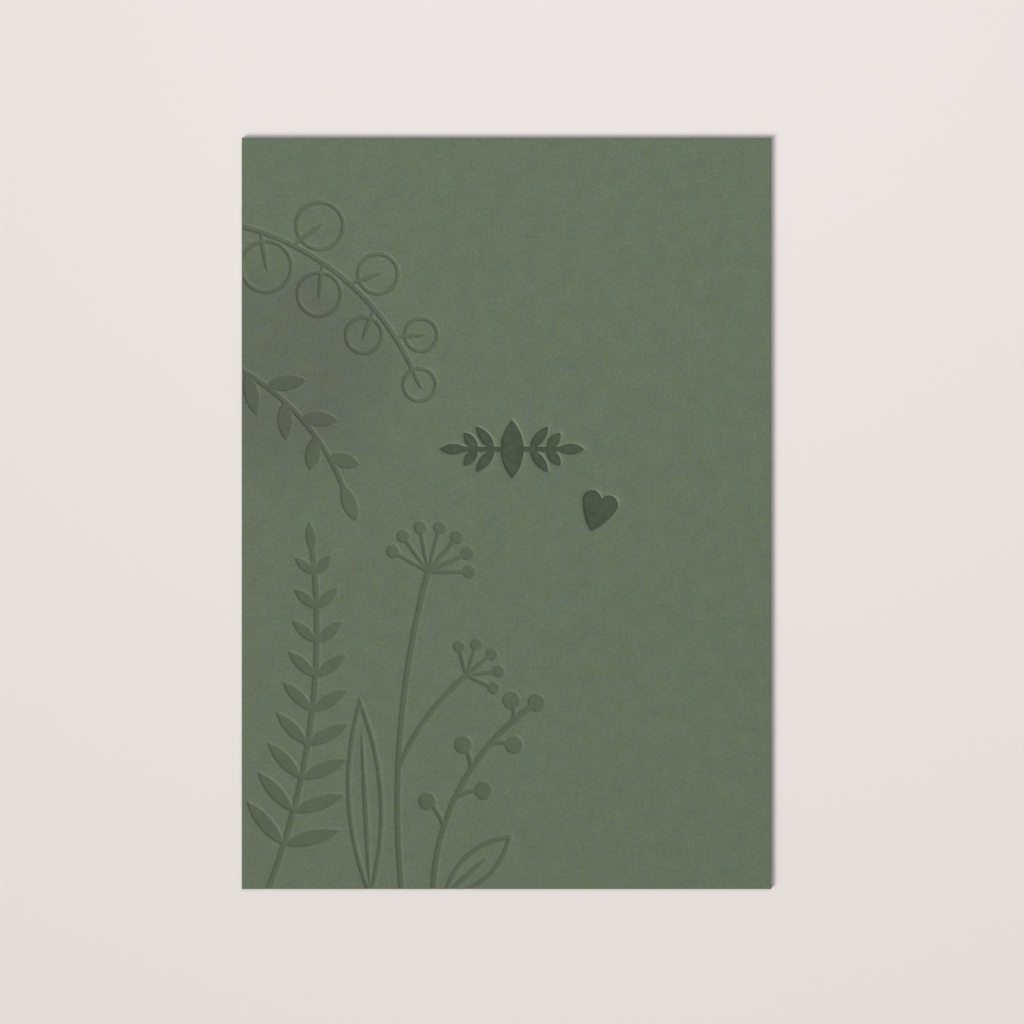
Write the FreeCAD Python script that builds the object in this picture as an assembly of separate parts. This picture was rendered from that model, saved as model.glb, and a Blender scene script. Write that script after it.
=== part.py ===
"""Pressed greeting postcard: one sheet of heavy uncoated board with plants, an ornament and a heart
pressed into its face.

Frame: millimetres. The card lies on its back in the XY plane, width along X, height along Y with the
top edge at +Y, pressed face up. The origin is on the underside, below the middle of the card.
"""
import FreeCAD, Part
import math
import os
from collections import namedtuple

# ---- Card ----------------------------------------------------------------------------------------
CARD_WIDTH = 105.0
CARD_HEIGHT = 149.0
BOARD_THICKNESS = 0.7

# ---- Pressing: every mark has a flat floor, and walls that lean outward up to the face -----------
PRESS_DEPTH = 0.25          # from the face down to the floors of the ornament and the heart
PLANT_DEPTH = 0.14          # from the face down to the floors of the plants
WALL_RUN = 0.3              # how far a wall leans outward between the deeper floors and the face
TOOL_RISE = 0.1             # how far each pressing tool stands out above the face
EDGE_OVERRUN = 2.0          # how far outside the card a plant's stem begins

STEM_WIDTH = 0.9            # widths of the floors
LINE_WIDTH = 0.6
RAY_WIDTH = 0.5
RAY_START = 0.4             # from the middle of the stem's round end
RIB_WIDTH = 0.75            # at the middle of a rib, which is pointed at both ends
TIP_LEAF_OVERLAP = 1.2      # how far the leaf at a stem's tip reaches back over the stem

# ---- Bough of round leaves: enters from the left edge and droops to the right --------------------
BOUGH_ROOT_DROP = 17.0      # from the top edge down to where it enters
BOUGH_TIP_REACH = 34.0      # from the left edge
BOUGH_TIP_DROP = 46.0
BOUGH_BOW = 5.5
BOUGH_FIRST_LEAF = 6.0      # along the stem from its beginning
BOUGH_LEAF_SPACING = 6.9
BOUGH_TIP_BARE = 5.0        # bare stem kept between the last side leaf and the tip
BOUGH_LARGE_LEAF = 10.0     # diameters, at the root and at the tip
BOUGH_SMALL_LEAF = 6.4
BOUGH_LEAF_ANGLE = 62.0
BOUGH_STALK = 2.0           # from the middle of the stem to the leaf's line
BOUGH_RIB_OVERLAP = 0.4     # how far a leaf's rib reaches back past the middle of the stem
BOUGH_RIB_PAST_CENTRE = 0.9

# ---- Twig of solid leaves: below the bough -------------------------------------------------------
TWIG_ROOT_DROP = 45.0
TWIG_TIP_REACH = 20.5
TWIG_TIP_DROP = 70.0
TWIG_BOW = 3.2
TWIG_FIRST_LEAF = 3.4
TWIG_LEAF_SPACING = 4.7
TWIG_TIP_BARE = 3.0
TWIG_LONG_LEAF = 8.4
TWIG_SHORT_LEAF = 6.2
TWIG_LEAF_WIDTH = 2.8
TWIG_LEAF_ANGLE = 46.0

# ---- Fern: pairs of solid leaflets on a tall stem ------------------------------------------------
FERN_ROOT_REACH = 4.5       # along the bottom edge from the lower left corner
FERN_TIP_REACH = 14.0
FERN_TIP_HEIGHT = 68.0
FERN_BOW = -4.5
FERN_FIRST_PAIR = 11.5
FERN_PAIR_SPACING = 6.8
FERN_TIP_BARE = 4.0
FERN_LONG_LEAF = 11.2
FERN_SHORT_LEAF = 4.8
FERN_LEAF_WIDTH = 2.6
FERN_TOP_LEAF_WIDTH = 1.7
FERN_LEAF_ANGLE = 58.0      # from the stem, at the root and at the tip
FERN_TOP_LEAF_ANGLE = 46.0

# ---- Umbels: a stem whose rays spread like an open hand, a bead on each --------------------------
UMBEL_ROOT_REACH = 32.0
UMBEL_TOP_REACH = 37.0
UMBEL_TOP_HEIGHT = 63.0
UMBEL_BOW = 3.0
UMBEL_RAYS = 7
UMBEL_SPREAD = 150.0
UMBEL_RAY_LENGTH = 9.0
UMBEL_OUTER_RAY_LENGTH = 8.1
UMBEL_BEAD_RADIUS = 1.15

SIDE_UMBEL_FORK = 26.0      # along the umbel's stem from its beginning
SIDE_UMBEL_REACH = 13.5     # from the fork to the side umbel's top
SIDE_UMBEL_RISE = 18.5
SIDE_UMBEL_BOW = 1.4
SIDE_STEM_WIDTH = 0.75
SIDE_UMBEL_RAYS = 5
SIDE_UMBEL_SPREAD = 130.0
SIDE_UMBEL_RAY_LENGTH = 6.5
SIDE_UMBEL_OUTER_RAY_LENGTH = 5.9
SIDE_UMBEL_BEAD_RADIUS = 1.05

# ---- Berry sprig ---------------------------------------------------------------------------------
SPRIG_ROOT_REACH = 38.0
SPRIG_TIP_REACH = 58.5
SPRIG_TIP_HEIGHT = 37.0
SPRIG_BOW = 5.5
SPRIG_FIRST_BERRY = 14.5
SPRIG_BERRY_SPACING = 6.3
SPRIG_TIP_BARE = 2.5
SPRIG_BERRY_RADIUS = 1.6
SPRIG_LONG_STALK = 6.2
SPRIG_SHORT_STALK = 4.3
SPRIG_STALK_ANGLE = 50.0
SPRIG_STALK_BOW = 0.5

# ---- Ground leaves: outlined, with a rib, at the bottom edge -------------------------------------
GROUND_LEAF_SINK = 1.0      # how far below the bottom edge they begin
GROUND_LEAF_RIB_SHORT = 6.5 # how far the rib stops short of the point
WIDE_LEAF_REACH = 40.5
WIDE_LEAF_LENGTH = 17.0
WIDE_LEAF_WIDTH = 5.6
WIDE_LEAF_HEADING = 42.0
TALL_LEAF_REACH = 25.5
TALL_LEAF_LENGTH = 38.0
TALL_LEAF_WIDTH = 6.4
TALL_LEAF_HEADING = 93.0

# ---- Ornament: an upright leaf between two level sprays ------------------------------------------
ORNAMENT_RIGHT = 1.2        # from the middle of the card to the middle of the ornament
ORNAMENT_UP = 12.8
ORNAMENT_LEAF_LENGTH = 11.3
ORNAMENT_LEAF_WIDTH = 4.4
SPRAY_START = 2.0           # from the ornament's middle along each side
SPRAY_END = 10.2
SPRAY_WIDTH = 0.8
SPRAY_FIRST_PAIR = 1.6      # along the spray from its start
SPRAY_PAIR_SPACING = 3.4
SPRAY_TIP_BARE = 2.2
SPRAY_LONG_LEAF = 5.6
SPRAY_SHORT_LEAF = 4.0
SPRAY_LEAF_WIDTH = 1.9
SPRAY_LEAF_ANGLE = 52.0

# ---- Heart ---------------------------------------------------------------------------------------
HEART_RIGHT = 18.7
HEART_UP = 2.3
HEART_LOBE_RADIUS = 1.75
HEART_LOBE_SPREAD = 3.5     # between the middles of the lobes
HEART_LENGTH = 5.4          # from the line through the lobes to the middle of the point
HEART_TIP_RADIUS = 0.45
HEART_SIDE_RADIUS = 12.0
HEART_HEADING = -108.0      # the way that the point shows

# ---- Worked out from the sizes above -------------------------------------------------------------
UP = FreeCAD.Vector(0, 0, 1)
FLOOR_HEIGHT = BOARD_THICKNESS - PRESS_DEPTH
TOOL_HEIGHT = PRESS_DEPTH + TOOL_RISE
TOOL_RUN = WALL_RUN * TOOL_HEIGHT / PRESS_DEPTH     # how far a tool's wall leans outward in all

SAME_POINT = 1e-6           # mm, and steps along a stem
SIDES = (1, -1)             # left and right of a stem

# A round stretch of an outline: start and sweep in degrees, sweep below 0 where the outline is hollow.
Turn = namedtuple("Turn", "centre radius start sweep")


def polar(length, heading):
    """Level vector of a length and a heading in degrees."""
    turn = math.radians(heading)
    return FreeCAD.Vector(length * math.cos(turn), length * math.sin(turn), 0)


def from_corner(right, up):
    """Point at a distance from the left edge and from the bottom edge."""
    return FreeCAD.Vector(right - CARD_WIDTH / 2, up - CARD_HEIGHT / 2, 0)


def between(first, last, share):
    """Value at a share of the way from first to last."""
    return first + (last - first) * share


def corner(near, other_near, opposite):
    """Angle in degrees between two sides of a triangle, from their lengths and that of the third."""
    cosine = (near ** 2 + other_near ** 2 - opposite ** 2) / (2 * near * other_near)
    return math.degrees(math.acos(cosine))


class Stem:
    """Arc in the plane of the face, from start to end, that rises by bow to the left of its way."""

    def __init__(self, start, end, bow=0.0):
        self.start = start
        self.end = end
        chord = end - start
        self.half_turn = 2 * math.degrees(math.atan2(2 * bow, chord.Length))
        self.first_heading = math.degrees(math.atan2(chord.y, chord.x)) + self.half_turn
        self.last_heading = self.first_heading - 2 * self.half_turn
        self.straight = bow == 0
        self.length = chord.Length
        if not self.straight:
            self.radius = chord.Length / 2 / math.sin(math.radians(self.half_turn))
            self.centre = start + polar(self.radius, self.first_heading - 90)
            self.length = 2 * self.radius * math.radians(self.half_turn)

    def at(self, distance):
        """Point and heading at a distance along the arc."""
        if self.straight:
            return self.start + polar(distance, self.first_heading), self.first_heading
        heading = self.first_heading - math.degrees(distance / self.radius)
        return self.centre + polar(self.radius, heading + 90), heading

    def stations(self, first, spacing, bare):
        """Distances from first on that leave the tip bare, each with its share of the way between them."""
        steps = int((self.length - bare - first) / spacing + SAME_POINT)
        return [(first + spacing * step, step / max(steps, 1)) for step in range(steps + 1)]


def outline(turns, grow, height):
    """Closed wire of round stretches, with straight ones between them, grown outward by grow."""
    arcs = []
    for turn in turns:
        radius = turn.radius + math.copysign(grow, turn.sweep)
        middle = turn.centre + UP * height
        arcs.append([middle + polar(radius, turn.start + turn.sweep * share) for share in (0, 0.5, 1)])
    edges = []
    for arc, following in zip(arcs, arcs[1:] + arcs[:1]):
        edges.append(Part.Arc(*arc).toShape())
        if (following[0] - arc[2]).Length > SAME_POINT:
            edges.append(Part.makeLine(arc[2], following[0]))
    return Part.Wire(edges)


def tool(turns):
    """Pressing tool of an outline: its floor, and walls that lean outward up to above the face."""
    floor = outline(turns, 0, FLOOR_HEIGHT)
    top = outline(turns, TOOL_RUN, FLOOR_HEIGHT + TOOL_HEIGHT)
    return Part.makeLoft([floor, top], True, True)


def groove(stem, width):
    """Tool for a groove along a stem, with round ends."""
    cap = width / 2
    end_cap = Turn(stem.end, cap, stem.last_heading - 90, 180)
    start_cap = Turn(stem.start, cap, stem.first_heading + 90, 180)
    if stem.straight:
        return tool([end_cap, start_cap])
    outward = math.copysign(90, stem.radius)
    left = Turn(stem.centre, abs(stem.radius + cap), stem.last_heading + outward, 2 * stem.half_turn)
    right = Turn(stem.centre, abs(stem.radius - cap), stem.first_heading + outward, -2 * stem.half_turn)
    return tool([end_cap, left, start_cap, right])


def disc(centre, radius):
    """Tool for a round floor."""
    return Part.makeCone(radius, radius + TOOL_RUN, TOOL_HEIGHT, centre + UP * FLOOR_HEIGHT)


def island(centre, radius):
    """What a round floor leaves standing inside it: a cone that narrows upward."""
    return Part.makeCone(radius, radius - TOOL_RUN, TOOL_HEIGHT, centre + UP * FLOOR_HEIGHT)


def drop(narrow, narrow_radius, wide, wide_radius, side_radius):
    """Tool for a drop: two round ends, and two sides that run into them on arcs of a larger radius."""
    way = wide - narrow
    heading = math.degrees(math.atan2(way.y, way.x))
    to_narrow = side_radius - narrow_radius
    to_wide = side_radius - wide_radius
    at_narrow = corner(way.Length, to_narrow, to_wide)
    at_wide = corner(way.Length, to_wide, to_narrow)
    sweep = 180 - at_narrow - at_wide
    left = Turn(narrow + polar(to_narrow, heading - at_narrow), side_radius, heading + at_wide, sweep)
    right = Turn(narrow + polar(to_narrow, heading + at_narrow), side_radius,
                 heading + 180 + at_narrow, sweep)
    return tool([Turn(wide, wide_radius, heading - at_wide, 2 * at_wide), left,
                 Turn(narrow, narrow_radius, heading + 180 - at_narrow, 2 * at_narrow), right])


def leaf_sides(base, heading, length, width):
    """The arcs that bound a leaf: its right side, run back to the base, and its left side."""
    point = base + polar(length, heading)
    return Stem(point, base, width / 2), Stem(base, point, width / 2)


def blade(base, heading, length, width):
    """Tool for a leaf with two round sides and sharp points, its whole area pressed."""
    right, left = leaf_sides(base, heading, length, width)
    return disc(right.centre, right.radius).common(disc(left.centre, left.radius))


def outlined_leaf(base, heading, length, width, rib_short):
    """Tools for a leaf drawn as a line round its edge, with a rib that stops short of its point."""
    right, left = leaf_sides(base, heading, length, width)
    line = LINE_WIDTH / 2
    outside = disc(right.centre, right.radius + line).common(disc(left.centre, left.radius + line))
    inside = island(right.centre, right.radius - line).common(island(left.centre, left.radius - line))
    return [outside.cut(inside), blade(base, heading, length - rib_short, RIB_WIDTH)]


def round_leaf(base, heading, diameter, stalk):
    """Tools for a round leaf: a ring, and a rib that runs from the stem to just past the ring's centre."""
    middle = stalk + diameter / 2
    centre = base + polar(middle, heading)
    line = LINE_WIDTH / 2
    ring = disc(centre, diameter / 2 + line).cut(island(centre, diameter / 2 - line))
    rib_base = base - polar(BOUGH_RIB_OVERLAP, heading)
    rib_length = BOUGH_RIB_OVERLAP + middle + BOUGH_RIB_PAST_CENTRE
    return [ring, blade(rib_base, heading, rib_length, RIB_WIDTH)]


def tip_leaf(stem, length, width):
    """Tool for the leaf that ends a stem."""
    base = stem.end - polar(TIP_LEAF_OVERLAP, stem.last_heading)
    return blade(base, stem.last_heading, length + TIP_LEAF_OVERLAP, width)


def umbel(stem, stem_width, rays, spread, ray_length, outer_ray_length, bead_radius):
    """Tools for a stem, the rays that fan out from its top, and their beads."""
    tools = [groove(stem, stem_width)]
    for ray in range(rays):
        side = 2 * ray / (rays - 1) - 1
        heading = stem.last_heading - side * spread / 2
        start = stem.end + polar(RAY_START, heading)
        end = stem.end + polar(between(ray_length, outer_ray_length, side ** 2), heading)
        tools.append(groove(Stem(start, end), RAY_WIDTH))
        tools.append(disc(end, bead_radius))
    return tools


def bough():
    """Round leaves by turns on either side of a drooping stem, and one at its tip."""
    stem = Stem(from_corner(-EDGE_OVERRUN, CARD_HEIGHT - BOUGH_ROOT_DROP),
                from_corner(BOUGH_TIP_REACH, CARD_HEIGHT - BOUGH_TIP_DROP), BOUGH_BOW)
    tools = [groove(stem, STEM_WIDTH)]
    stations = stem.stations(BOUGH_FIRST_LEAF, BOUGH_LEAF_SPACING, BOUGH_TIP_BARE)
    for number, (distance, share) in enumerate(stations):
        base, heading = stem.at(distance)
        side = SIDES[(number + 1) % 2]
        diameter = between(BOUGH_LARGE_LEAF, BOUGH_SMALL_LEAF, share)
        tools += round_leaf(base, heading + side * BOUGH_LEAF_ANGLE, diameter, BOUGH_STALK)
    return tools + round_leaf(stem.end, stem.last_heading, BOUGH_SMALL_LEAF, 0)


def twig():
    """Solid leaves by turns on either side of a short drooping stem, and one at its tip."""
    stem = Stem(from_corner(-EDGE_OVERRUN, CARD_HEIGHT - TWIG_ROOT_DROP),
                from_corner(TWIG_TIP_REACH, CARD_HEIGHT - TWIG_TIP_DROP), TWIG_BOW)
    tools = [groove(stem, STEM_WIDTH)]
    stations = stem.stations(TWIG_FIRST_LEAF, TWIG_LEAF_SPACING, TWIG_TIP_BARE)
    for number, (distance, share) in enumerate(stations):
        base, heading = stem.at(distance)
        side = SIDES[(number + 1) % 2]
        length = between(TWIG_LONG_LEAF, TWIG_SHORT_LEAF, share)
        tools.append(blade(base, heading + side * TWIG_LEAF_ANGLE, length, TWIG_LEAF_WIDTH))
    return tools + [tip_leaf(stem, TWIG_SHORT_LEAF, TWIG_LEAF_WIDTH)]


def fern():
    """Pairs of solid leaflets that shorten towards the top, and one at the tip."""
    stem = Stem(from_corner(FERN_ROOT_REACH, -EDGE_OVERRUN),
                from_corner(FERN_TIP_REACH, FERN_TIP_HEIGHT), FERN_BOW)
    tools = [groove(stem, STEM_WIDTH)]
    for distance, share in stem.stations(FERN_FIRST_PAIR, FERN_PAIR_SPACING, FERN_TIP_BARE):
        base, heading = stem.at(distance)
        length = between(FERN_LONG_LEAF, FERN_SHORT_LEAF, share)
        width = between(FERN_LEAF_WIDTH, FERN_TOP_LEAF_WIDTH, share)
        angle = between(FERN_LEAF_ANGLE, FERN_TOP_LEAF_ANGLE, share)
        tools += [blade(base, heading + side * angle, length, width) for side in SIDES]
    return tools + [tip_leaf(stem, FERN_SHORT_LEAF, FERN_TOP_LEAF_WIDTH)]


def umbels():
    """A tall umbel, and a smaller one that forks off its stem to the right."""
    stem = Stem(from_corner(UMBEL_ROOT_REACH, -EDGE_OVERRUN),
                from_corner(UMBEL_TOP_REACH, UMBEL_TOP_HEIGHT), UMBEL_BOW)
    fork, _ = stem.at(SIDE_UMBEL_FORK)
    side_stem = Stem(fork, fork + FreeCAD.Vector(SIDE_UMBEL_REACH, SIDE_UMBEL_RISE, 0), SIDE_UMBEL_BOW)
    return (umbel(stem, STEM_WIDTH, UMBEL_RAYS, UMBEL_SPREAD, UMBEL_RAY_LENGTH,
                  UMBEL_OUTER_RAY_LENGTH, UMBEL_BEAD_RADIUS)
            + umbel(side_stem, SIDE_STEM_WIDTH, SIDE_UMBEL_RAYS, SIDE_UMBEL_SPREAD, SIDE_UMBEL_RAY_LENGTH,
                    SIDE_UMBEL_OUTER_RAY_LENGTH, SIDE_UMBEL_BEAD_RADIUS))


def berry_sprig():
    """Berries on bowed stalks by turns on either side of a stem, and one at its tip."""
    stem = Stem(from_corner(SPRIG_ROOT_REACH, -EDGE_OVERRUN),
                from_corner(SPRIG_TIP_REACH, SPRIG_TIP_HEIGHT), SPRIG_BOW)
    tools = [groove(stem, STEM_WIDTH), disc(stem.end, SPRIG_BERRY_RADIUS)]
    stations = stem.stations(SPRIG_FIRST_BERRY, SPRIG_BERRY_SPACING, SPRIG_TIP_BARE)
    for number, (distance, share) in enumerate(stations):
        base, heading = stem.at(distance)
        side = SIDES[number % 2]
        length = between(SPRIG_LONG_STALK, SPRIG_SHORT_STALK, share)
        berry = base + polar(length, heading + side * SPRIG_STALK_ANGLE)
        tools.append(groove(Stem(base, berry, -side * SPRIG_STALK_BOW), LINE_WIDTH))
        tools.append(disc(berry, SPRIG_BERRY_RADIUS))
    return tools


def ground_leaf(reach, heading, length, width):
    """Tools for an outlined leaf that grows from just below the bottom edge."""
    base = from_corner(reach, -GROUND_LEAF_SINK)
    return outlined_leaf(base, heading, length, width, GROUND_LEAF_RIB_SHORT)


def ornament():
    """An upright leaf, and on each side of it a level spray of paired leaves."""
    middle = FreeCAD.Vector(ORNAMENT_RIGHT, ORNAMENT_UP, 0)
    foot = middle - FreeCAD.Vector(0, ORNAMENT_LEAF_LENGTH / 2, 0)
    tools = [blade(foot, 90, ORNAMENT_LEAF_LENGTH, ORNAMENT_LEAF_WIDTH)]
    for way in (0, 180):
        spray = Stem(middle + polar(SPRAY_START, way), middle + polar(SPRAY_END, way))
        tools.append(groove(spray, SPRAY_WIDTH))
        tools.append(tip_leaf(spray, SPRAY_SHORT_LEAF, SPRAY_LEAF_WIDTH))
        for distance, share in spray.stations(SPRAY_FIRST_PAIR, SPRAY_PAIR_SPACING, SPRAY_TIP_BARE):
            base, heading = spray.at(distance)
            length = between(SPRAY_LONG_LEAF, SPRAY_SHORT_LEAF, share)
            tools += [blade(base, heading + side * SPRAY_LEAF_ANGLE, length, SPRAY_LEAF_WIDTH)
                      for side in SIDES]
    return tools


def heart():
    """Two drops that share their point, tilted so that it shows down and to the left."""
    middle = FreeCAD.Vector(HEART_RIGHT, HEART_UP, 0)
    point = middle + polar(HEART_LENGTH, HEART_HEADING)
    lobes = [middle + polar(HEART_LOBE_SPREAD / 2, HEART_HEADING + side * 90) for side in SIDES]
    return [drop(point, HEART_TIP_RADIUS, lobe, HEART_LOBE_RADIUS, HEART_SIDE_RADIUS) for lobe in lobes]


def press(sheet, tools, depth):
    """The sheet with tools pressed into its face to a depth, one after another."""
    lift = UP * (PRESS_DEPTH - depth)
    for pressed in tools:
        sheet = sheet.cut(pressed.translated(lift))
    return sheet


def card():
    """The sheet of board with every motif pressed into its face."""
    sheet = Part.makeBox(CARD_WIDTH, CARD_HEIGHT, BOARD_THICKNESS, from_corner(0, 0))
    plants = (bough() + twig() + fern() + umbels() + berry_sprig()
              + ground_leaf(WIDE_LEAF_REACH, WIDE_LEAF_HEADING, WIDE_LEAF_LENGTH, WIDE_LEAF_WIDTH)
              + ground_leaf(TALL_LEAF_REACH, TALL_LEAF_HEADING, TALL_LEAF_LENGTH, TALL_LEAF_WIDTH))
    sheet = press(sheet, plants, PLANT_DEPTH)
    return press(sheet, ornament() + heart(), PRESS_DEPTH).removeSplitter()


os.makedirs("parts", exist_ok=True)
card().exportStep("parts/card.step")
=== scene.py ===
"""Looks of a pressed greeting postcard: one sheet of heavy dyed-through board, face up on a pale floor.

The frame's card gives the sheet's size and the floors of its pressed marks. The visual sheet keeps both,
with the soft shoulders that board takes from a press, and lies where the frame's card lies.
Points and outlines in the card's plane are complex numbers in millimetres. Meshes are in metres.
"""

import logging
import math
from collections.abc import Callable, Mapping, Sequence
from dataclasses import dataclass, field
from enum import Enum
from types import SimpleNamespace
from typing import Union

import bmesh
import bpy
import numpy as np
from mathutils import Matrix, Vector
from mathutils.geometry import delaunay_2d_cdt


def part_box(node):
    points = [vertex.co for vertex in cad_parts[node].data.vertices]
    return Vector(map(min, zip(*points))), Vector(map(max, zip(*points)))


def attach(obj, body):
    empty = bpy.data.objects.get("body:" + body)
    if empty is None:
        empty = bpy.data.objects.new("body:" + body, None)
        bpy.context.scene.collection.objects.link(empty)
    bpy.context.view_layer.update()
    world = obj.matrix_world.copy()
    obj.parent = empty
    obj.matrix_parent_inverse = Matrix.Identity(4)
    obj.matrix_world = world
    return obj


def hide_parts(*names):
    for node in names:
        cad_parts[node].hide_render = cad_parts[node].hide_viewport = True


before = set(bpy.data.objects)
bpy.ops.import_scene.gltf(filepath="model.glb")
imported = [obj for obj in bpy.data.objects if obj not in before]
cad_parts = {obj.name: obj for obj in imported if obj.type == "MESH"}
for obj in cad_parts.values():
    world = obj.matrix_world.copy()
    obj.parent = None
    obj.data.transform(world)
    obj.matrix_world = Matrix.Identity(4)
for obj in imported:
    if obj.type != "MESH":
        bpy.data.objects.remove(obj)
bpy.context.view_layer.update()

MM = 0.001
CARD_NODE = "card"
BODY = "root"
WHITE = (1.0, 1.0, 1.0)
NOISE_MIDDLE = 0.5      # mean value of a noise texture

Colour = tuple[float, float, float]
Setting = Union[str, int, float, bool, Sequence[object]]
Input = Union["Outlet", list["Outlet"], float, int, bool, str, Sequence[float], bpy.types.ID]
Key = Union[str, int]

log = logging.getLogger("postcard")


class Held(Enum):
    """Values that the sheet's mesh holds at its points."""

    REACH = "reach"         # metres from the nearest floor's outline, below 0 on the floor
    DEPTH = "depth"         # metres from the face down to the nearest floor
    PRESSED = "pressed"     # 0 on the face, 1 on a floor
    INKED = "inked"         # 1 in and around the inked marks


# ---- Node trees ----


def maths(operation: str, swapped: bool = False) -> Callable[..., "Outlet"]:
    """Make an operator of Outlet, which adds one Math node.

    Args:
        operation: what the node works out.
        swapped: whether the other value comes first.

    Returns:
        The operator, as a method.
    """
    def operator(self: "Outlet", *other: Input) -> "Outlet":
        """Outlet of the added node."""
        values = (*other, self) if swapped else (self, *other)
        return self.bench.add("ShaderNodeMath", {"operation": operation}, dict(enumerate(values)))

    return operator


@dataclass(frozen=True)
class Outlet:
    """Output socket of a node, with the operators that add Math nodes behind it."""

    bench: "Bench"
    socket: bpy.types.NodeSocket | None

    __add__, __radd__ = maths("ADD"), maths("ADD", swapped=True)
    __sub__, __rsub__ = maths("SUBTRACT"), maths("SUBTRACT", swapped=True)
    __mul__, __rmul__ = maths("MULTIPLY"), maths("MULTIPLY", swapped=True)
    __gt__, __lt__ = maths("GREATER_THAN"), maths("LESS_THAN")  # 1 where it is so, else 0
    __abs__, sign = maths("ABSOLUTE"), maths("SIGN")

    def smooth(self, start: Input, end: Input) -> "Outlet":
        """Smooth step over self.

        Args:
            start: where the step leaves 0.
            end: where it reaches 1.

        Returns:
            The step, level at both ends.
        """
        inputs = {"Value": self, "From Min": start, "From Max": end, "To Min": 0.0, "To Max": 1.0}
        return self.bench.add("ShaderNodeMapRange", {"interpolation_type": "SMOOTHSTEP"}, inputs)


@dataclass(frozen=True)
class Bench:
    """A node tree that is being built."""

    tree: bpy.types.NodeTree

    @classmethod
    def cleared(cls, owner: bpy.types.Material | bpy.types.World) -> "Bench":
        """Empty the tree of a material or a sky.

        Args:
            owner: the material or the sky.

        Returns:
            Its tree.
        """
        owner.use_nodes = True
        owner.node_tree.nodes.clear()
        return cls(owner.node_tree)

    @staticmethod
    def find(sockets: bpy.types.bpy_prop_collection, key: Key) -> bpy.types.NodeSocket:
        """Socket with that place, identifier or name."""
        return {socket.identifier: socket for socket in sockets}.get(key) or sockets[key]

    def add(self, kind: str, settings: Mapping[str, Setting] | None = None,
            inputs: Mapping[Key, Input] | None = None, outlet: Key = 0) -> Outlet:
        """Add a node of any kind.

        Args:
            kind: the node's type.
            settings: its properties, which are set first.
            inputs: values or links of its input sockets, by place, identifier or name. A list of
                outlets goes into one socket that takes several links.
            outlet: which of its outputs to return.

        Returns:
            That output.
        """
        node = self.tree.nodes.new(kind)
        for name, value in (settings or {}).items():
            setattr(node, name, value)
        for key, value in (inputs or {}).items():
            socket = self.find(node.inputs, key)
            links = value if isinstance(value, list) else [value]
            if isinstance(links[0], Outlet):
                for link in links:
                    self.tree.links.new(link.socket, socket)
            else:
                socket.default_value = value
        return Outlet(self, self.find(node.outputs, outlet) if node.outputs else None)

    def beside(self, outlet: Outlet, key: Key) -> Outlet:
        """Another output of the node that an outlet belongs to."""
        return Outlet(self, self.find(outlet.socket.node.outputs, key))

    def along(self, axis: str, vector: Input) -> Outlet:
        """A vector's coordinate along an axis."""
        return self.add("ShaderNodeSeparateXYZ", inputs={"Vector": vector}, outlet=axis)

    def scaled(self, vector: Input, factor: Input) -> Outlet:
        """Vector or colour times a number."""
        return self.add("ShaderNodeVectorMath", {"operation": "SCALE"}, {"Vector": vector, "Scale": factor})

    def tinted(self, colour: Input, tint: Input) -> Outlet:
        """Colour times a colour."""
        return self.add("ShaderNodeVectorMath", {"operation": "MULTIPLY"}, {0: colour, 1: tint})

    def mixed(self, factor: Input, first: Input, second: Input) -> Outlet:
        """Colour between first, at factor 0, and second, at factor 1."""
        inputs = {"Factor_Float": factor, "A_Color": first, "B_Color": second}
        return self.add("ShaderNodeMix", {"data_type": "RGBA"}, inputs, "Result_Color")

    def between(self, factor: Input, first: Input, second: Input) -> Outlet:
        """Number between first, at factor 0, and second, at factor 1."""
        inputs = {"Factor_Float": factor, "A_Float": first, "B_Float": second}
        return self.add("ShaderNodeMix", {"data_type": "FLOAT"}, inputs, "Result_Float")


def opaque(colour: Colour) -> tuple[float, float, float, float]:
    """Colour with full alpha, as a colour socket takes it."""
    return (*colour, 1.0)


def placed(name: str, data: bpy.types.ID) -> bpy.types.Object:
    """Put a new object into the scene.

    Args:
        name: its name.
        data: its mesh, light or camera.

    Returns:
        The object.
    """
    item = bpy.data.objects.new(name, data)
    bpy.context.scene.collection.objects.link(item)
    return item


# ---- Finishes ----


@dataclass(frozen=True)
class Patch:
    """Soft patch of another shade on the face. Lengths in mm from the middle of the card's back."""

    right: float = -44.0
    up: float = 28.0
    lowest: float = 0.1  # height at which it begins on a cut edge
    full: float = 0.5
    core: float = 14.0   # radius within which it is full
    radius: float = 27.0
    uneven: float = 7.0  # how far its border wanders
    uneven_size: float = 11.0
    shade: Colour = (0.93, 0.85, 0.945)


@dataclass(frozen=True)
class Board:
    """Uncoated board, dyed through: clouds of fibre, a felt grain and stray fibres. Lengths in mm."""

    colour: Colour = (0.1327, 0.1704, 0.1055)
    roughness: float = 0.9
    reflection: float = 0.4
    cloud_size: float = 3.4
    cloud_depth: float = 0.2           # depths of shade are shares of the colour
    cloud_layers: float = 3.0          # finer and finer layers of a noise
    hue_size: float = 2.5
    hue: Colour = (0.045, 0.0, -0.18)  # how far a warm cloud's colour is from the board's
    grain_size: float = 0.62
    grain_depth: float = 0.46
    grain_layers: float = 4.0
    fibre_length: float = 2.6
    fibre_width: float = 0.16
    fibre_depth: float = 0.05
    fibre_layers: float = 1.0
    fibre_turns: tuple[float, ...] = (17.0, 74.0, 131.0)    # degrees
    fibre_start: float = 0.1           # noise at which a fibre begins
    fibre_full: float = 0.26
    fibre_relief: float = 0.3          # a fibre's height, in shares of the relief
    relief: float = 0.014
    patch: Patch = Patch()


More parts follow.
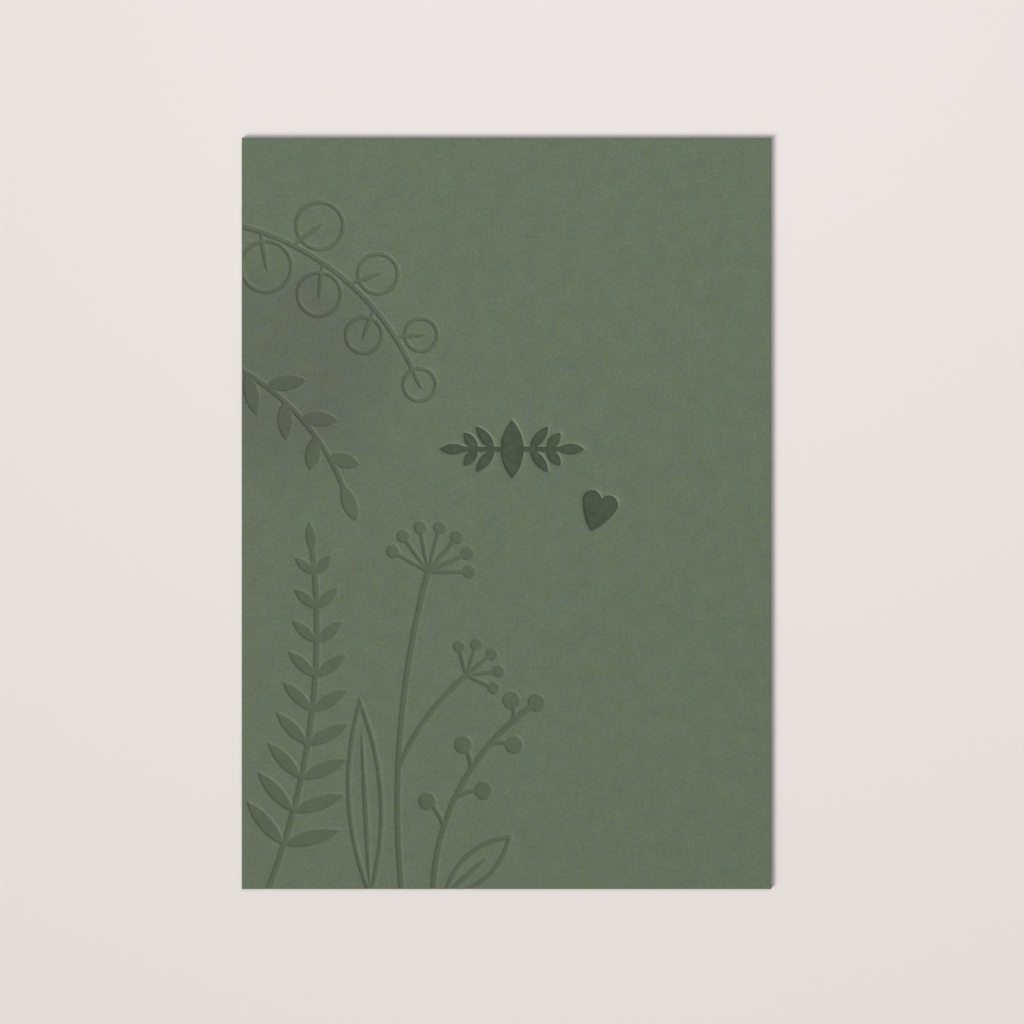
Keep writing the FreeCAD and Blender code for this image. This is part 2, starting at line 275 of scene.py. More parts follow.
@dataclass(frozen=True)
class Impression:
    """What the press does to the board on the floor of a mark: darker pressed board, with painted shade of
    the recess that reaches up its walls.
    """

    shade: Colour = (0.722, 0.741, 0.67)
    shade_start: float = 0.11  # how far the board is pressed where the darkening begins, partway up the wall, so the walls carry painted shade
    shade_full: float = 0.6
    roughness: float = 0.46
    relief_kept: float = 0.45  # share of the board's relief that is left


@dataclass(frozen=True)
class Ink:
    """Tone-on-tone ink on the floors of some marks. Lengths in mm."""

    colour: Colour = (0.0525, 0.0765, 0.0388)
    roughness: float = 0.46
    edge_start: float = 0.72  # how far the board is pressed where the ink begins
    edge_full: float = 0.9
    cloud_size: float = 1.6
    cloud_depth: float = 0.75
    squeeze_and_shade_start: float = -0.3   # reach at which the ink darkens towards the wall: ink squeezed there by the press, and painted shade of the mark's inner corner
    squeeze_and_shade_full: float = -0.06
    squeeze_and_shade_depth: float = 0.2


@dataclass(frozen=True)
class CutEdge:
    """Side of the board where it was cut: its layers show as fine level streaks. Lengths in mm."""

    shade: float = 0.9
    streak_length: float = 3.0
    streak_height: float = 0.07
    streak_depth: float = 0.3
    relief: float = 0.02


class Paper:
    """The board's finish, laid out in a material's tree."""

    def __init__(self, name: str, board: Board) -> None:
        """Start a material.

        Args:
            name: the material's name.
            board: the finish.
        """
        self.material = bpy.data.materials.new(name)
        self.bench = Bench.cleared(self.material)
        self.board = board
        self.place = self.bench.scaled(self.bench.add("ShaderNodeTexCoord", outlet="Object"), 1 / MM)

    def noise(self, size: float = 1.0, place: Outlet | None = None, layers: float = 2.0) -> Outlet:
        """Soft noise about 0.

        Args:
            size: length of its features in mm.
            place: coordinates in mm, if not the piece's own.
            layers: how many finer layers it has.

        Returns:
            Values from about -0.5 to 0.5.
        """
        inputs = {"Vector": place or self.place, "Scale": 1 / size, "Detail": layers}
        return self.bench.add("ShaderNodeTexNoise", inputs=inputs) - NOISE_MIDDLE

    def stretched(self, lengths: Sequence[float], turn: float = 0.0) -> Outlet:
        """Coordinates of a pattern drawn out to these lengths in mm, turned in the card's plane."""
        inputs = {"Vector": self.place, "Rotation": (0.0, 0.0, math.radians(turn)),
                  "Location": (turn, 0.0, 0.0), "Scale": [1 / length for length in lengths]}
        return self.bench.add("ShaderNodeMapping", inputs=inputs)

    def grain(self) -> Outlet:
        """The board's felt grain, about 0."""
        return self.noise(self.board.grain_size, layers=self.board.grain_layers)

    def fibres(self) -> Outlet:
        """Stray fibres that lie several ways.

        Returns:
            Values above 0 where there is one.
        """
        board = self.board
        strands = []
        for turn in board.fibre_turns:
            lying = self.stretched((board.fibre_length, board.fibre_width, board.fibre_length), turn)
            strand = self.noise(place=lying, layers=board.fibre_layers)
            strands.append(strand.smooth(board.fibre_start, board.fibre_full))
        return sum(strands[1:], strands[0])

    def patch(self) -> Outlet:
        """The patch of another shade.

        Returns:
            1 in it, 0 away from it.
        """
        patch = self.board.patch
        centre = (patch.right, patch.up, 0.0)
        away = self.bench.add("ShaderNodeVectorMath", {"operation": "DISTANCE"},
                              {0: self.place, 1: centre}, "Value")
        away = away + self.noise(patch.uneven_size) * (2 * patch.uneven)
        height = self.bench.along("Z", self.place)
        return (1 - away.smooth(patch.core, patch.radius)) * height.smooth(patch.lowest, patch.full)

    def tone(self) -> Outlet:
        """Clouds, grain, fibres and patch of the bare board.

        Returns:
            Its base colour.
        """
        board = self.board
        light = (1 + self.noise(board.cloud_size, layers=board.cloud_layers) * board.cloud_depth
                 + self.grain() * board.grain_depth + self.fibres() * board.fibre_depth)
        cool, warm = (
            opaque(tuple(share * (1 + sign * shift) for share, shift in zip(board.colour, board.hue)))
            for sign in (-1, 1)
        )
        hue = self.bench.mixed(self.noise(board.hue_size) + NOISE_MIDDLE, cool, warm)
        shade = self.bench.mixed(self.patch(), opaque(WHITE), opaque(board.patch.shade))
        return self.bench.scaled(self.bench.tinted(shade, hue), light)

    def relief(self) -> Outlet:
        """Height of the bare board's surface, in shares of its relief."""
        return self.grain() + self.fibres() * self.board.fibre_relief

    def surface(self, colour: Outlet, roughness: Input, height: Outlet, depth: float) -> bpy.types.Material:
        """Close the material.

        Args:
            colour: base colour.
            roughness: roughness.
            height: relief, in shares of its depth.
            depth: depth of the relief in mm.

        Returns:
            The material.
        """
        normal = self.bench.add("ShaderNodeBump", inputs={"Distance": depth * MM, "Height": height})
        inputs = {"Base Color": colour, "Roughness": roughness, "Normal": normal,
                  "Specular IOR Level": self.board.reflection}
        shader = self.bench.add("ShaderNodeBsdfPrincipled", inputs=inputs)
        self.bench.add("ShaderNodeOutputMaterial", inputs={"Surface": shader})
        return self.material


def face_finish(board: Board, impression: Impression, ink: Ink) -> bpy.types.Material:
    """Make the finish of the face and the back, pressed and inked where the mesh says so, with painted shade
    on the walls and in the inner corners of the marks.

    Args:
        board: the bare board.
        impression: what the press does to it.
        ink: the ink.

    Returns:
        The material.
    """
    paper = Paper("board_face", board)
    bench = paper.bench
    pressed, inked, reach = (
        bench.add("ShaderNodeAttribute", {"attribute_name": held.value}, outlet="Fac")
        for held in (Held.PRESSED, Held.INKED, Held.REACH)
    )
    ink_here = inked * pressed.smooth(ink.edge_start, ink.edge_full)
    # Darker pressed board on the plain marks' floors, and painted shade on their walls
    pressed_tone_and_painted_shade = pressed.smooth(impression.shade_start, impression.shade_full) * (1 - inked)
    shade = bench.mixed(pressed_tone_and_painted_shade, opaque(WHITE), opaque(impression.shade))
    # Ink darker towards the foot of the wall: partly squeezed ink, partly painted shade in the corner of the
    # mark
    rim = reach.smooth(ink.squeeze_and_shade_start * MM, ink.squeeze_and_shade_full * MM)
    light = (1 + paper.noise(board.grain_size) * board.grain_depth
             + paper.noise(ink.cloud_size) * ink.cloud_depth - rim * ink.squeeze_and_shade_depth)
    colour = bench.mixed(ink_here, bench.tinted(paper.tone(), shade), bench.scaled(ink.colour, light))
    roughness = bench.between(ink_here, bench.between(pressed, board.roughness, impression.roughness),
                              ink.roughness)
    height = paper.relief() * bench.between(pressed, 1.0, impression.relief_kept)
    return paper.surface(colour, roughness, height, board.relief)


def edge_finish(board: Board, edge: CutEdge) -> bpy.types.Material:
    """Make the finish of the cut sides.

    Args:
        board: the bare board.
        edge: what the cutter does to it.

    Returns:
        The material.
    """
    paper = Paper("board_edge", board)
    lying = paper.stretched((edge.streak_length, edge.streak_length, edge.streak_height))
    streaks = paper.noise(place=lying)
    colour = paper.bench.scaled(paper.tone(), (1 + streaks * edge.streak_depth) * edge.shade)
    return paper.surface(colour, board.roughness, streaks, edge.relief)


# ---- Outlines of the pressed floors ----


@dataclass(frozen=True)
class Tracing:
    """How the frame's outlines are read and rounded off. Lengths in mm."""

    same_point: float = 0.001
    level: float = 0.99        # least height of a floor's normal
    depth_places: int = 3      # decimal places by which floors count as equally deep
    corner_turn: float = 22.0  # degrees, above which a bend is a corner
    uneven_steps: float = 3.0  # longer step to shorter, above which a straight meets an arc
    flatness: float = 0.002    # how far a chord may leave its curve
    overrun: float = 1.5       # how far outlines are carried on past the card's edge


class Floors:
    """Outlines of the floors of the card's marks that lie at one depth.

    walls holds the steps of the outlines at which a wall rises, and loops every closed outline with its
    floor on the left. A floor that runs out over the card's edge is carried on past it.
    """

    def __init__(self, half: np.ndarray, depth: float, steps: dict[complex, list[complex]],
                 tracing: Tracing) -> None:
        """Round the outlines off.

        Args:
            half: half the card's width and half its height.
            depth: depth of the floors below the face.
            steps: the points that follow each point along an outline.
            tracing: how to read the outlines.
        """
        self.half = half
        self.depth = depth
        self.tracing = tracing
        self.loops: list[np.ndarray] = []
        self.walls: list[tuple[complex, complex]] = []
        while steps:
            self._round_off(np.array(self._next_loop(steps)))

    @staticmethod
    def _next_loop(steps: dict[complex, list[complex]]) -> list[complex]:
        """Take one closed outline out of the steps.

        Args:
            steps: the points that follow each point.

        Returns:
            The outline's points in order.
        """
        start = next(iter(steps))
        loop = [start]
        while True:
            ways = steps[loop[-1]]
            here = ways.pop()
            if not ways:
                del steps[loop[-1]]
            if here == start:
                return loop
            loop.append(here)

    def _round_off(self, points: np.ndarray) -> None:
        """Add one outline, its round stretches made smooth and its open steps carried on past the edge.

        A point where two steps of like length meet at a slight bend lies on an arc, and the curve has the
        arc's heading there. Each step then becomes a cubic between the headings at its two ends.

        Args:
            points: the outline's points.
        """
        tracing = self.tracing
        steps = np.roll(points, -1) - points
        lengths = np.abs(steps)
        ways = steps / lengths
        before, ways_in = np.roll(lengths, 1), np.roll(ways, 1)
        at_edge = np.stack([abs(abs(points.real) - self.half[0]) < tracing.same_point,
                            abs(abs(points.imag) - self.half[1]) < tracing.same_point])
        is_open = (at_edge & np.roll(at_edge, -1, 1)).any(0)
        smooth = ((abs(np.angle(ways / ways_in)) < math.radians(tracing.corner_turn))
                  & ~is_open & ~np.roll(is_open, 1))
        even = np.maximum(lengths, before) < tracing.uneven_steps * np.minimum(lengths, before)
        on_arc = smooth & even
        heading = ways_in * lengths + ways * before
        heading /= abs(heading)
        arc_ahead = np.roll(on_arc, -1)
        ahead = np.roll(heading, -1)
        starts = np.where(on_arc, heading, np.where(arc_ahead, ways**2 / ahead, ways))
        ends = np.where(arc_ahead, ahead, np.where(on_arc, ways**2 / heading, ways))
        ends_before = np.roll(ends, 1)
        joint = smooth & ~even
        starts = np.where(joint & (before > lengths), ends_before, starts)
        ends = np.roll(np.where(joint & (before < lengths), starts, ends_before), -1)

        outline: list[complex] = []
        for place, start in enumerate(points):
            following = (place + 1) % len(points)
            if is_open[place]:
                if not is_open[place - 1]:
                    outline += self._wall([start, start + tracing.overrun * ends[place - 1]])
                if not is_open[following]:
                    end = points[following]
                    outline += self._wall([end - tracing.overrun * starts[following], end])[:1]
                continue
            bend = abs(np.angle(ends[place] / starts[place]))
            sagitta = lengths[place] * bend / 8
            count = max(math.ceil(math.sqrt(sagitta / tracing.flatness)), 1)
            share = np.linspace(0, 1, count + 1)
            curve = (start + steps[place] * share**2 * (3 - 2 * share)
                     + lengths[place] * (starts[place] * share * (1 - share)**2
                                         - ends[place] * share**2 * (1 - share)))
            outline += self._wall(curve)[:-1]
        self.loops.append(np.array(outline))

    def _wall(self, curve: Sequence[complex]) -> list[complex]:
        """Note the steps of a curve as walls, and return the curve as a list."""
        self.walls += zip(curve[:-1], curve[1:])
        return list(curve)


def read_floors(node: bpy.types.Object, tracing: Tracing = Tracing()) -> list[Floors]:
    """Floors of the frame's card, the shallowest first.

    Args:
        node: the frame's card.
        tracing: how to read them.

    Returns:
        The floors at each depth.
    """
    low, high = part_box(node.name)
    half = np.array([high.x - low.x, high.y - low.y]) / MM / 2
    work = bmesh.new()
    work.from_mesh(node.data)
    bmesh.ops.remove_doubles(work, verts=work.verts, dist=tracing.same_point * MM)
    depths: dict[bmesh.types.BMFace, float] = {}
    for face in work.faces:
        depth = round((high.z - face.calc_center_median().z) / MM, tracing.depth_places)
        if face.normal.z > tracing.level and 0 < depth < high.z / MM:
            depths[face] = depth
    floors = []
    for depth in sorted(set(depths.values())):
        steps: dict[complex, list[complex]] = {}
        for face in (face for face, its_depth in depths.items() if its_depth == depth):
            for corner in face.loops:
                if sum(other in depths for other in corner.edge.link_faces) == 1:
                    start, end = (complex(*loop.vert.co.xy) / MM for loop in (corner, corner.link_loop_next))
                    steps.setdefault(start, []).append(end)
        floors.append(Floors(half, depth, steps, tracing))
    work.free()
    return floors


@dataclass(frozen=True)
class Line:
    """Line of equal reach."""

    points: np.ndarray
    closed: bool
    reach: float

    def evened(self, meshing: "Meshing") -> "Line":
        """Space the line's points evenly, and keep its corners.

        Args:
            meshing: how finely.

        Returns:
            The new line.
        """
        points = np.append(self.points, self.points[0]) if self.closed else self.points
        along = np.append(0, np.cumsum(abs(np.diff(points))))
        count = max(math.ceil(along[-1] / meshing.spacing), meshing.fewest_steps)
        corners = along[self._corners(points, meshing.corner_turn)]
        stops = np.union1d(np.linspace(0, along[-1], count + 1), corners)
        kept = np.append(True, np.diff(stops) > meshing.spacing * meshing.closest)
        kept[-1] = True
        stops = stops[kept]
        points = np.interp(stops, along, points.real) + 1j * np.interp(stops, along, points.imag)
        return Line(points[:-1] if self.closed else points, self.closed, self.reach)

    @staticmethod
    def _corners(points: np.ndarray, corner_turn: float, span: int = 3) -> np.ndarray:
        """Find the sharpest points of the bends.

        Args:
            points: the line's points.
            corner_turn: bend in degrees that makes a corner.
            span: number of steps over which a bend is measured.

        Returns:
            Their places along the line.
        """
        if len(points) < 2 * span + 1:
            return np.array([], int)
        chords = points[span:] - points[:-span]
        turns = abs(np.angle(chords[span:] / chords[:-span]))
        peak = np.append(turns[1:] <= turns[:-1], True) & np.append(True, turns[1:] > turns[:-1])
        return np.nonzero(peak & (turns > math.radians(corner_turn)))[0] + span


class Reach:
    """Distance from the nearest floor's outline, below 0 on the floors, on a grid over the face. In mm.

    values holds it, and floors the number of the set of floors that is nearest.
    """

    # Lines through a cell of the grid, for each set of its corners that lies below the line's value.
    # Corners count 1, 2, 4, 8 and sides 0, 1, 2, 3, both from the lower left and lower side round to
    # the left; a line has the lower values on its left.
    PASSES = {1: [(0, 3)], 2: [(1, 0)], 3: [(1, 3)], 4: [(2, 1)], 5: [(0, 3), (2, 1)], 6: [(2, 0)],
              7: [(2, 3)], 8: [(3, 2)], 9: [(0, 2)], 10: [(1, 0), (3, 2)], 11: [(1, 2)], 12: [(3, 1)],
              13: [(0, 1)], 14: [(3, 0)]}

    def __init__(self, sets: Sequence[Floors], half: np.ndarray, pitch: float, limit: float) -> None:
        """Measure the distances.

        Args:
            sets: the floors at each depth.
            half: half the width and half the height of the face.
            pitch: the grid's pitch.
            limit: distance past which it isn't measured.
        """
        self.x, self.y = (np.linspace(-side, side, round(2 * side / pitch) + 1) for side in half)
        distances = np.stack([self._from(floors, limit) for floors in sets])
        self.values = distances.min(0)
        self.floors = distances.argmin(0)

    def _from(self, floors: Floors, limit: float) -> np.ndarray:
        """Measure the distance from one set of floors.

        Args:
            floors: the floors.
            limit: distance past which it isn't measured.

        Returns:
            The distance at each point of the grid.
        """
        distance = np.full((len(self.y), len(self.x)), limit)
        for start, end in floors.walls:
            columns, rows = (
                slice(*np.searchsorted(grid, (min(ends) - limit, max(ends) + limit)))
                for grid, ends in ((self.x, (start.real, end.real)), (self.y, (start.imag, end.imag)))
            )
            away = self.x[columns] + 1j * self.y[rows, None] - start
            way = end - start
            share = np.clip((away * way.conjugate()).real / abs(way)**2, 0, 1)
            window = distance[rows, columns]
            np.minimum(window, abs(away - share * way), out=window)
        return np.where(self._within(floors.loops), -distance, distance)

    def _within(self, loops: Sequence[np.ndarray]) -> np.ndarray:
        """Find the points of the grid that are on a floor.

        Args:
            loops: the floors' closed outlines.

        Returns:
            Whether each point is inside an odd number of them.
        """
        crossings = np.zeros((len(self.y), len(self.x) + 1), int)
        for loop in loops:
            for start, end in zip(loop, np.roll(loop, -1)):
                if start.imag == end.imag:
                    continue
                rows = np.arange(*np.searchsorted(self.y, sorted((start.imag, end.imag))))
                share = (self.y[rows] - start.imag) / (end.imag - start.imag)
                columns = np.searchsorted(self.x, start.real + share * (end.real - start.real))
                crossings[rows, columns] += 1
        return crossings[:, :-1].cumsum(1) % 2 == 1

    def at(self, points: np.ndarray) -> np.ndarray:
        """Read the distance between the points of the grid.

        Args:
            points: where to read it.

        Returns:
            The distance at each.
        """
        across = (points.real - self.x[0]) / (self.x[1] - self.x[0])
        up = (points.imag - self.y[0]) / (self.y[1] - self.y[0])
        column = np.clip(across.astype(int), 0, len(self.x) - 2)
        row = np.clip(up.astype(int), 0, len(self.y) - 2)
        across, up = across - column, up - row
        values = self.values
        lower = values[row, column] * (1 - across) + values[row, column + 1] * across
        upper = values[row + 1, column] * (1 - across) + values[row + 1, column + 1] * across
        return lower * (1 - up) + upper * up

    def nearest(self, points: np.ndarray) -> np.ndarray:
        """Number of the set of floors that is nearest to each point."""
        row, column = (np.clip(np.searchsorted(grid, places), 0, len(grid) - 1)
                       for grid, places in ((self.y, points.imag), (self.x, points.real)))
        return self.floors[row, column]

    def lines(self, reach: float) -> list[Line]:
        """Lines at one distance.

        Args:
            reach: the distance.

        Returns:
            The lines, each with the lower distances on its left.
        """
        below = self.values < reach
        corners = (below[:-1, :-1], below[:-1, 1:], below[1:, 1:], below[1:, :-1])
        cells = sum(corner * weight for corner, weight in zip(corners, (1, 2, 4, 8)))
        width = len(self.x)
        upright = below.size
        to_side = (0, upright + 1, width, upright)
        following: dict[int, int] = {}
        for kind, passes in self.PASSES.items():
            rows, columns = np.nonzero(cells == kind)
            cell = rows * width + columns
            for first, last in passes:
                following.update(zip((cell + to_side[first]).tolist(), (cell + to_side[last]).tolist()))
        ends = set(following.values())
        heads = [start for start in following if start not in ends]
        lines = []
        while following:
            closed = not heads
            line = [next(iter(following)) if closed else heads.pop()]
            while line[-1] in following:
                line.append(following.pop(line[-1]))
            points = self._crossings(np.array(line), reach)
            lines.append(Line(points[:-1] if closed else points, closed, reach))
        return lines

    def _crossings(self, sides: np.ndarray, reach: float) -> np.ndarray:
        """Find where a line of equal reach crosses the grid.

        Args:
            sides: the numbers of the cells' sides that it crosses.
            reach: the line's distance.

        Returns:
            The point on each side.
        """
        upright = sides >= self.values.size
        row, column = np.divmod(sides % self.values.size, len(self.x))
        row_after, column_after = row + upright, column + ~upright
        first, last = self.values[row, column], self.values[row_after, column_after]
        share = (reach - first) / (last - first)
        start = self.x[column] + 1j * self.y[row]
        end = self.x[column_after] + 1j * self.y[row_after]
        return start + share * (end - start)


# ---- The sheet ----


@dataclass(frozen=True)
class Press:
    """How the press and the cutter leave the board. Lengths in mm."""

    foot: float = -0.16           # reach at which a plain mark's floor begins to rise
    shoulder: float = 0.43        # reach at which the face round it is level again
    upper_shoulder: float = 0.29  # the same on the upper part, where the press bears harder
    upper_start: float = -8.0     # how far up from the card's middle that part begins
    upper_full: float = 12.0
    inked_foot: float = -0.09     # foot and shoulder of the deeper inked marks
    inked_shoulder: float = 0.35
    roll: float = 1.1             # reach at which the face begins to roll in round those
    roll_share: float = 0.28      # share of their depth that is in the roll
    arris: float = 0.07           # radius of the rounding along the cut edges
    margin: float = 0.13          # level band inside the rounding
    merged: float = 0.002         # points this close become one


@dataclass(frozen=True)
class Meshing:
    """How finely the face is cut into triangles. Lengths in mm."""

    reaches: tuple[float, ...] = (-0.2, -0.12, -0.05, 0.02, 0.09, 0.16, 0.23, 0.31, 0.4, 0.52)
    inked_reaches: tuple[float, ...] = (-0.3, 0.66, 0.82, 0.98, 1.14)   # more, round the inked marks only
    pitch: float = 0.1         # pitch of the grid on which the reach is measured
    limit: float = 1.3         # reach past which it isn't measured
    spacing: float = 0.26      # between the points of a line of equal reach
    corner_turn: float = 38.0  # degrees, above which such a line keeps a corner
    border_spacing: float = 2.2
    open_spacing: float = 2.6
    open_reach: float = 0.8    # reach past which points are spread over the open face
    same_point: float = 1e-6
    fewest_steps: int = 4      # of a line of equal reach
    closest: float = 0.25      # least distance between its points, in shares of their spacing
    arris_steps: int = 3       # on the rounding of a cut edge
    upright: float = 0.5       # least height of the normal of a face that isn't a cut side
    sharp_angle: float = 50.0  # degrees, above which an edge is drawn sharp


@dataclass
class PressedCard:
    """The card: a flat face cut along lines of equal reach, then pressed, edged and backed by a node tree."""

    node: bpy.types.Object
    press: Press = Press()
    meshing: Meshing = Meshing()
    board: Board = Board()
    impression: Impression = Impression()
    ink: Ink = Ink()
    edge: CutEdge = CutEdge()
    sets: list[Floors] = field(init=False)
    reach: Reach = field(init=False)
    half: np.ndarray = field(init=False)

    def __post_init__(self) -> None:
        """Read the frame's card, and measure the flat part of the face."""
        self.sets = read_floors(self.node)
        self.half = self.sets[0].half - self.press.arris - self.press.margin
        self.reach = Reach(self.sets, self.half, self.meshing.pitch, self.meshing.limit)

    def build(self) -> bpy.types.Object:
        """Make the piece.

        Returns:
            The card as a plain closed mesh, dressed.
        """
        blank = self._blank()
        finished = self._worked(blank)
        bpy.data.objects.remove(blank)
        return placed("pressed_card", finished)

    def _lines(self) -> list[Line]:
        """Draw the lines of equal reach that the triangles follow.

        Returns:
            The lines.
        """
        meshing = self.meshing
        lines = [line for reach in meshing.reaches for line in self.reach.lines(reach)]
        lines += [line for reach in meshing.inked_reaches for line in self.reach.lines(reach)
                  if (self.reach.nearest(line.points) == len(self.sets) - 1).all()]
        return [line.evened(meshing) for line in lines
                if abs(np.diff(line.points)).sum() > meshing.spacing]

    def _border(self, points: list[complex], steps: list[tuple[int, int]]) -> None:
        """Add the face's four sides.

        Args:
            points: the points so far.
            steps: the steps between them that the triangles must follow.
        """
        width, height = self.half
        points += [complex(x, y) for x in (-width, width) for y in (-height, height)]
        places = np.array(points)
        for along, across, side in ((places.real, places.imag, height), (places.imag, places.real, width)):
            for edge in (-side, side):
                on_side = np.nonzero(abs(across - edge) < self.meshing.same_point)[0]
                order = on_side[np.argsort(along[on_side])]
                for start, end in zip(order, order[1:]):
                    gap = places[end] - places[start]
                    count = math.ceil(abs(gap) / self.meshing.border_spacing)
                    chain = [start, *range(len(points), len(points) + count - 1), end]
                    points += [places[start] + gap * share / count for share in range(1, count)]
                    steps += zip(chain, chain[1:])

    def _open_field(self) -> np.ndarray:
        """Spread points over the parts of the face that have no marks.

        Returns:
            The points.
        """
        spacing = self.meshing.open_spacing
        width, height = self.half
        rows = np.arange(-height + spacing / 2, height - spacing / 4, spacing * math.sqrt(3) / 2)
        spread = np.concatenate([
            np.arange(-width + spacing / 2 * (1 + number % 2), width - spacing / 4, spacing) + 1j * row
            for number, row in enumerate(rows)
        ])
        return spread[self.reach.at(spread) > self.meshing.open_reach]

    def _blank(self) -> bpy.types.Object:
        """Cut the flat face into triangles.

        Returns:
            The blank, which holds reach, depth and ink at every point.
        """
        points: list[complex] = []
        steps: list[tuple[int, int]] = []
        known: list[float] = []
        for line in self._lines():
            places = range(len(points), len(points) + len(line.points))
            steps += zip(places, places[1:])
            if line.closed:
                steps.append((places[-1], places[0]))
            points += line.points.tolist()
            known += [line.reach] * len(line.points)
        self._border(points, steps)
        points += self._open_field().tolist()
        flat = [Vector((point.real, point.imag)) for point in points]
        corners, _, faces, sources, _, _ = delaunay_2d_cdt(flat, steps, [], 0, self.meshing.same_point)
        places = np.array([complex(*corner) for corner in corners])
        reach = self.reach.at(places)
        for place, source in enumerate(sources):
            if source and source[0] < len(known):
                reach[place] = known[source[0]]
        mesh = bpy.data.meshes.new("blank")
        heights = np.zeros(len(places))
        mesh.from_pydata(np.stack([places.real, places.imag, heights], 1) * MM, [], faces)
        depths = np.array([floors.depth for floors in self.sets])[self.reach.nearest(places)]
        inked = (depths == depths.max()).astype(float)
        for held, values in ((Held.REACH, reach * MM), (Held.DEPTH, depths * MM), (Held.INKED, inked)):
            mesh.attributes.new(held.value, "FLOAT", "POINT").data.foreach_set("value", values)
        log.info("blank: %d points, %d of them on lines, %d triangles", len(places), len(known), len(faces))
        return placed("blank", mesh)

    def _inputs(self) -> dict[str, float | bpy.types.Material]:
        """List the node tree's inputs: the press's sizes, the sheet's and the two finishes.

        Returns:
            Their values, by their names.
        """
        half_width, half_height = self.sets[0].half.tolist()
        lengths = {**vars(self.press), "half_width": half_width, "half_height": half_height}
        numbers = {"roll_share": lengths.pop("roll_share"), "thickness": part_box(self.node.name)[1].z}
        numbers |= {name: length * MM for name, length in lengths.items()}
        return numbers | {"face_finish": face_finish(self.board, self.impression, self.ink),
                          "edge_finish": edge_finish(self.board, self.edge)}

    def _worked(self, blank: bpy.types.Object) -> bpy.types.Mesh:
        """Press, edge and back a blank with the node tree.

        Args:
            blank: the blank.

        Returns:
            The finished mesh.
        """
        tree = bpy.data.node_groups.new("press_and_cut", "GeometryNodeTree")
        for way in ("INPUT", "OUTPUT"):
            tree.interface.new_socket("Geometry", in_out=way, socket_type="NodeSocketGeometry")
        values = {}
        for name, value in self._inputs().items():
            kind = "NodeSocketFloat" if isinstance(value, float) else "NodeSocketMaterial"
            socket = tree.interface.new_socket(name, in_out="INPUT", socket_type=kind)
            values[socket.identifier] = value
        self._lay_out(Bench(tree))
        modifier = blank.modifiers.new("press_and_cut", "NODES")
        modifier.node_group = tree
        for identifier, value in values.items():
            modifier[identifier] = value
        finished = bpy.data.meshes.new_from_object(
            blank.evaluated_get(bpy.context.evaluated_depsgraph_get()))
        blank.modifiers.remove(modifier)
        finished.shade_smooth()
        finished.set_sharp_from_angle(angle=math.radians(self.meshing.sharp_angle))
        return finished

    def _lay_out(self, bench: Bench) -> None:
        """Add the nodes that turn the blank into the finished sheet.

        Args:
            bench: the tree.
        """
        sheet = bench.add("NodeGroupInput", outlet="Geometry")
        given = SimpleNamespace(**{socket.name: Outlet(bench, socket)
                                   for socket in sheet.socket.node.outputs})
        reach, inked, depth = (self._held(bench, held) for held in (Held.REACH, Held.INKED, Held.DEPTH))
        place = bench.add("GeometryNodeInputPosition")

        upper = bench.along("Y", place).smooth(given.upper_start, given.upper_full)
        foot = bench.between(inked, given.foot, given.inked_foot)
        shoulder = bench.between(inked, bench.between(upper, given.shoulder, given.upper_shoulder),
                                 given.inked_shoulder)
        pressed = 1 - bench.between(inked * given.roll_share, reach.smooth(foot, shoulder),
                                    reach.smooth(foot, given.roll))
        sheet = self._hold(bench, sheet, Held.PRESSED, pressed)
        face = given.thickness - depth * self._held(bench, Held.PRESSED)
        offset = bench.add("ShaderNodeCombineXYZ", inputs={"Z": face})
        sheet = bench.add("GeometryNodeSetPosition", inputs={"Geometry": sheet, "Offset": offset})

        arris = given.arris
        turns = np.linspace(0, math.pi / 2, self.meshing.arris_steps + 1).tolist()
        rings = [(arris * (1 - math.sin(turn)), face - arris * (1 - math.cos(turn))) for turn in turns]
        rings += [(arris * (1 - math.cos(turn)), arris * (1 - math.sin(turn))) for turn in turns]
        rings.append((arris + given.margin, 0.0))
        rim = bench.add("GeometryNodeInputMeshEdgeNeighbors") < 2
        for inset, height in rings:
            sheet, rim = self._ring(bench, sheet, rim, given, inset, height)

        line = bench.add("GeometryNodeMeshToCurve", inputs={"Mesh": sheet, "Selection": rim})
        back = bench.add("GeometryNodeFillCurve", inputs={"Curve": line})
        back = bench.add("GeometryNodeFlipFaces", inputs={"Mesh": back})
        sheet = bench.add("GeometryNodeJoinGeometry", inputs={"Geometry": [sheet, back]})
        sheet = bench.add("GeometryNodeMergeByDistance",
                          inputs={"Geometry": sheet, "Distance": given.merged})

        lower_half = bench.along("Z", place) < given.thickness * 0.5
        for held in (Held.PRESSED, Held.INKED):
            sheet = self._hold(bench, sheet, held, 0.0, lower_half)
        sheet = bench.add("GeometryNodeRemoveAttribute",
                          inputs={"Geometry": sheet, "Name": Held.DEPTH.value})
        sheet = bench.add("GeometryNodeRealizeInstances", inputs={"Geometry": sheet})
        sheet = bench.add("GeometryNodeSetMaterial",
                          inputs={"Geometry": sheet, "Material": given.face_finish})
        sides = abs(bench.along("Z", bench.add("GeometryNodeInputNormal"))) < self.meshing.upright
        sheet = bench.add("GeometryNodeSetMaterial", inputs={"Geometry": sheet, "Selection": sides,
                                                             "Material": given.edge_finish})
        bench.add("NodeGroupOutput", inputs={"Geometry": sheet})

    @staticmethod
    def _held(bench: Bench, held: Held) -> Outlet:
        """Value that the mesh holds at each point."""
        return bench.add("GeometryNodeInputNamedAttribute", {"data_type": "FLOAT"}, {"Name": held.value})

    @staticmethod
    def _hold(bench: Bench, sheet: Outlet, held: Held, value: Input, where: Input = True) -> Outlet:
        """The sheet, holding a value at the points where it is wanted."""
        return bench.add("GeometryNodeStoreNamedAttribute", {"data_type": "FLOAT", "domain": "POINT"},
                         {"Geometry": sheet, "Selection": where, "Name": held.value, "Value": value})

